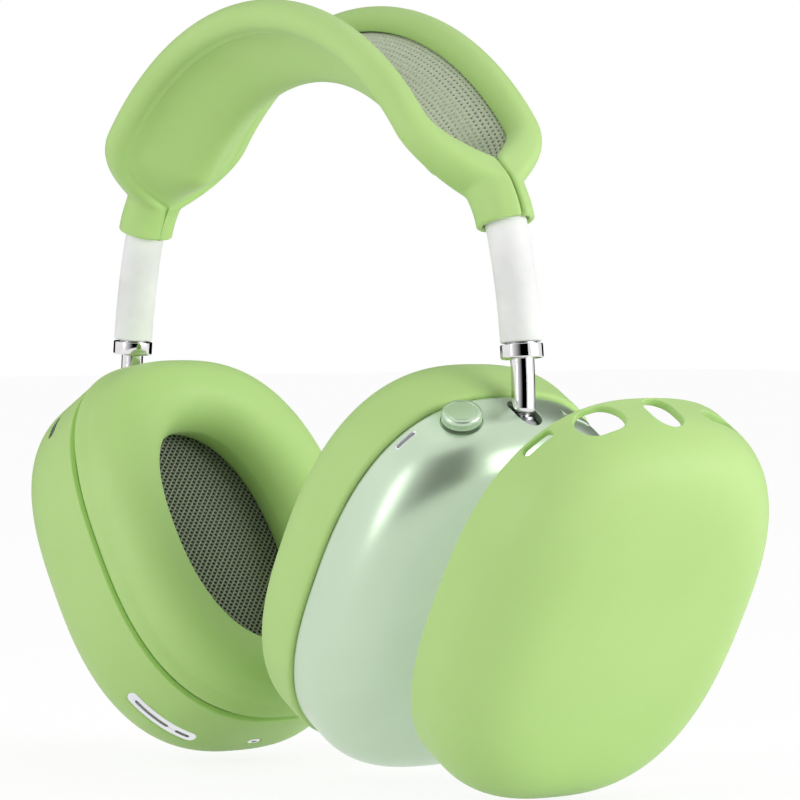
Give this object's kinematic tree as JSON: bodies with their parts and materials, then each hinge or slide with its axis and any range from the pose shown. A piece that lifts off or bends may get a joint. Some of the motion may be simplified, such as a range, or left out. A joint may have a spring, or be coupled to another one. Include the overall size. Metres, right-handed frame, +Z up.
{
  "type": "over-ear headphones with silicone covers",
  "caption": "Over-ear headphones with sprung-arch headband, telescoping stems, tilting cups and soft silicone covers, one of them pulled off.",
  "frame": {"origin": "middle of the underside of the headband's crown, where it rests on the head", "axes": "+X to the wearer's right, +Y to the wearer's front, +Z up"},
  "size_m": [0.2362, 0.0879, 0.2026],
  "materials": {
    "silicone": "matt moulded silicone",
    "satin_aluminium": "satin anodised, pale mint",
    "canopy_knit": "open knit",
    "rod_jacket": "soft jacket",
    "steel": "satin",
    "white_sleeve": "soft touch",
    "chrome": "polished",
    "dark_plastic": "matt",
    "driver_frame": "cast",
    "magnet": "plated",
    "diaphragm_film": "film",
    "circuit_board": "solder mask",
    "battery_wrap": "foil wrap",
    "grey_trim": "matt",
    "speaker_knit": "looped knit",
    "foam": "open foam",
    "silver_trim": "bright satin",
    "brass": "turned"
  },
  "bodies": {
    "headband": {"headband_cover": "silicone", "canopy": "canopy_knit", "front_rod": "rod_jacket", "rear_rod": "rod_jacket", "left_yoke": "steel", "right_yoke": "steel", "left_arm_tube": "steel", "right_arm_tube": "steel", "left_sleeve": "white_sleeve", "right_sleeve": "white_sleeve", "left_collar": "chrome", "right_collar": "chrome"},
    "left_stem": {"left_stem": "chrome"},
    "left_knuckle": {"left_knuckle": "steel"},
    "left_cup": {"left_tilt_pin": "steel", "left_hinge_bracket": "dark_plastic", "left_cup_housing": "satin_aluminium", "left_baffle": "dark_plastic", "left_baffle_screws": "steel", "left_driver_basket": "driver_frame", "left_driver_magnet": "magnet", "left_diaphragm": "diaphragm_film", "left_circuit_board": "circuit_board", "left_seam_ring": "grey_trim", "left_speaker_cloth": "speaker_knit", "left_cushion_plate": "dark_plastic", "left_cushion_foam": "foam", "left_pad_cover": "silicone", "left_cup_cover": "silicone", "left_vent_frame": "silver_trim", "left_lower_microphone": "silver_trim", "left_upper_microphone": "silver_trim"},
    "right_stem": {"right_stem": "chrome"},
    "right_knuckle": {"right_knuckle": "steel"},
    "right_cup": {"right_tilt_pin": "steel", "right_hinge_bracket": "dark_plastic", "right_cup_housing": "satin_aluminium", "right_baffle": "dark_plastic", "right_baffle_screws": "steel", "right_driver_basket": "driver_frame", "right_driver_magnet": "magnet", "right_diaphragm": "diaphragm_film", "right_circuit_board": "circuit_board", "right_seam_ring": "grey_trim", "right_speaker_cloth": "speaker_knit", "right_cushion_plate": "dark_plastic", "right_cushion_foam": "foam", "right_pad_cover": "silicone", "battery": "battery_wrap", "right_microphone": "silver_trim", "charging_port": "silver_trim", "crown_bush": "brass", "crown_switch": "dark_plastic", "button_switch": "dark_plastic"},
    "crown_shaft": {"crown_shaft": "steel"},
    "crown": {"crown_knob": "satin_aluminium"},
    "mode_button": {"mode_button": "satin_aluminium"},
    "right_cup_cover": {"right_cup_cover": "silicone"}
  },
  "joints": [
    {"name": "right_stem_slide", "type": "hinge", "parent": "headband", "child": "right_stem", "pos_m": [-0.08293, 0, -0.08485], "axis": [0, 1, 0], "range_deg": [-2.26, 4.17]},
    {"name": "right_swivel", "type": "hinge", "parent": "right_stem", "child": "right_knuckle", "pos_m": [0.08207, 0, -0.09135], "axis": [0, 0, 1], "range_deg": [-10, 10]},
    {"name": "right_tilt", "type": "hinge", "parent": "right_knuckle", "child": "right_cup", "pos_m": [0.08207, 0, -0.09135], "axis": [0.0523, 0.9986, 0], "range_deg": [-22, 2]},
    {"name": "left_stem_slide", "type": "hinge", "parent": "headband", "child": "left_stem", "pos_m": [0.08293, 0, -0.08485], "axis": [0, -1, 0], "range_deg": [-2.26, 4.17]},
    {"name": "left_swivel", "type": "hinge", "parent": "left_stem", "child": "left_knuckle", "pos_m": [-0.08207, 0, -0.09135], "axis": [0, 0, -1], "range_deg": [-10, 10]},
    {"name": "left_tilt", "type": "hinge", "parent": "left_knuckle", "child": "left_cup", "pos_m": [-0.08207, 0, -0.09135], "axis": [0.0523, -0.9986, 0], "range_deg": [-22, 2]},
    {"name": "crown_press", "type": "slide", "parent": "right_cup", "child": "crown_shaft", "axis": [-0.448, 0.3798, -0.8094], "range_m": [0, 0.0008], "stiffness_N_per_m": 1200, "springref_m": -0.0004},
    {"name": "crown_turn", "type": "hinge", "parent": "crown_shaft", "child": "crown", "pos_m": [0.07994, -0.01863, -0.08795], "axis": [0.448, -0.3798, 0.8094], "continuous": true},
    {"name": "mode_button_press", "type": "slide", "parent": "right_cup", "child": "mode_button", "axis": [-0.4898, -0.2944, -0.8206], "range_m": [0, 0.0006], "stiffness_N_per_m": 1500, "springref_m": -0.0004},
    {"name": "right_cover_pull", "type": "slide", "parent": "right_cup", "child": "right_cup_cover", "axis": [0.9996, 0, -0.0286], "range_m": [-0.02, 0.02]}
  ]
}
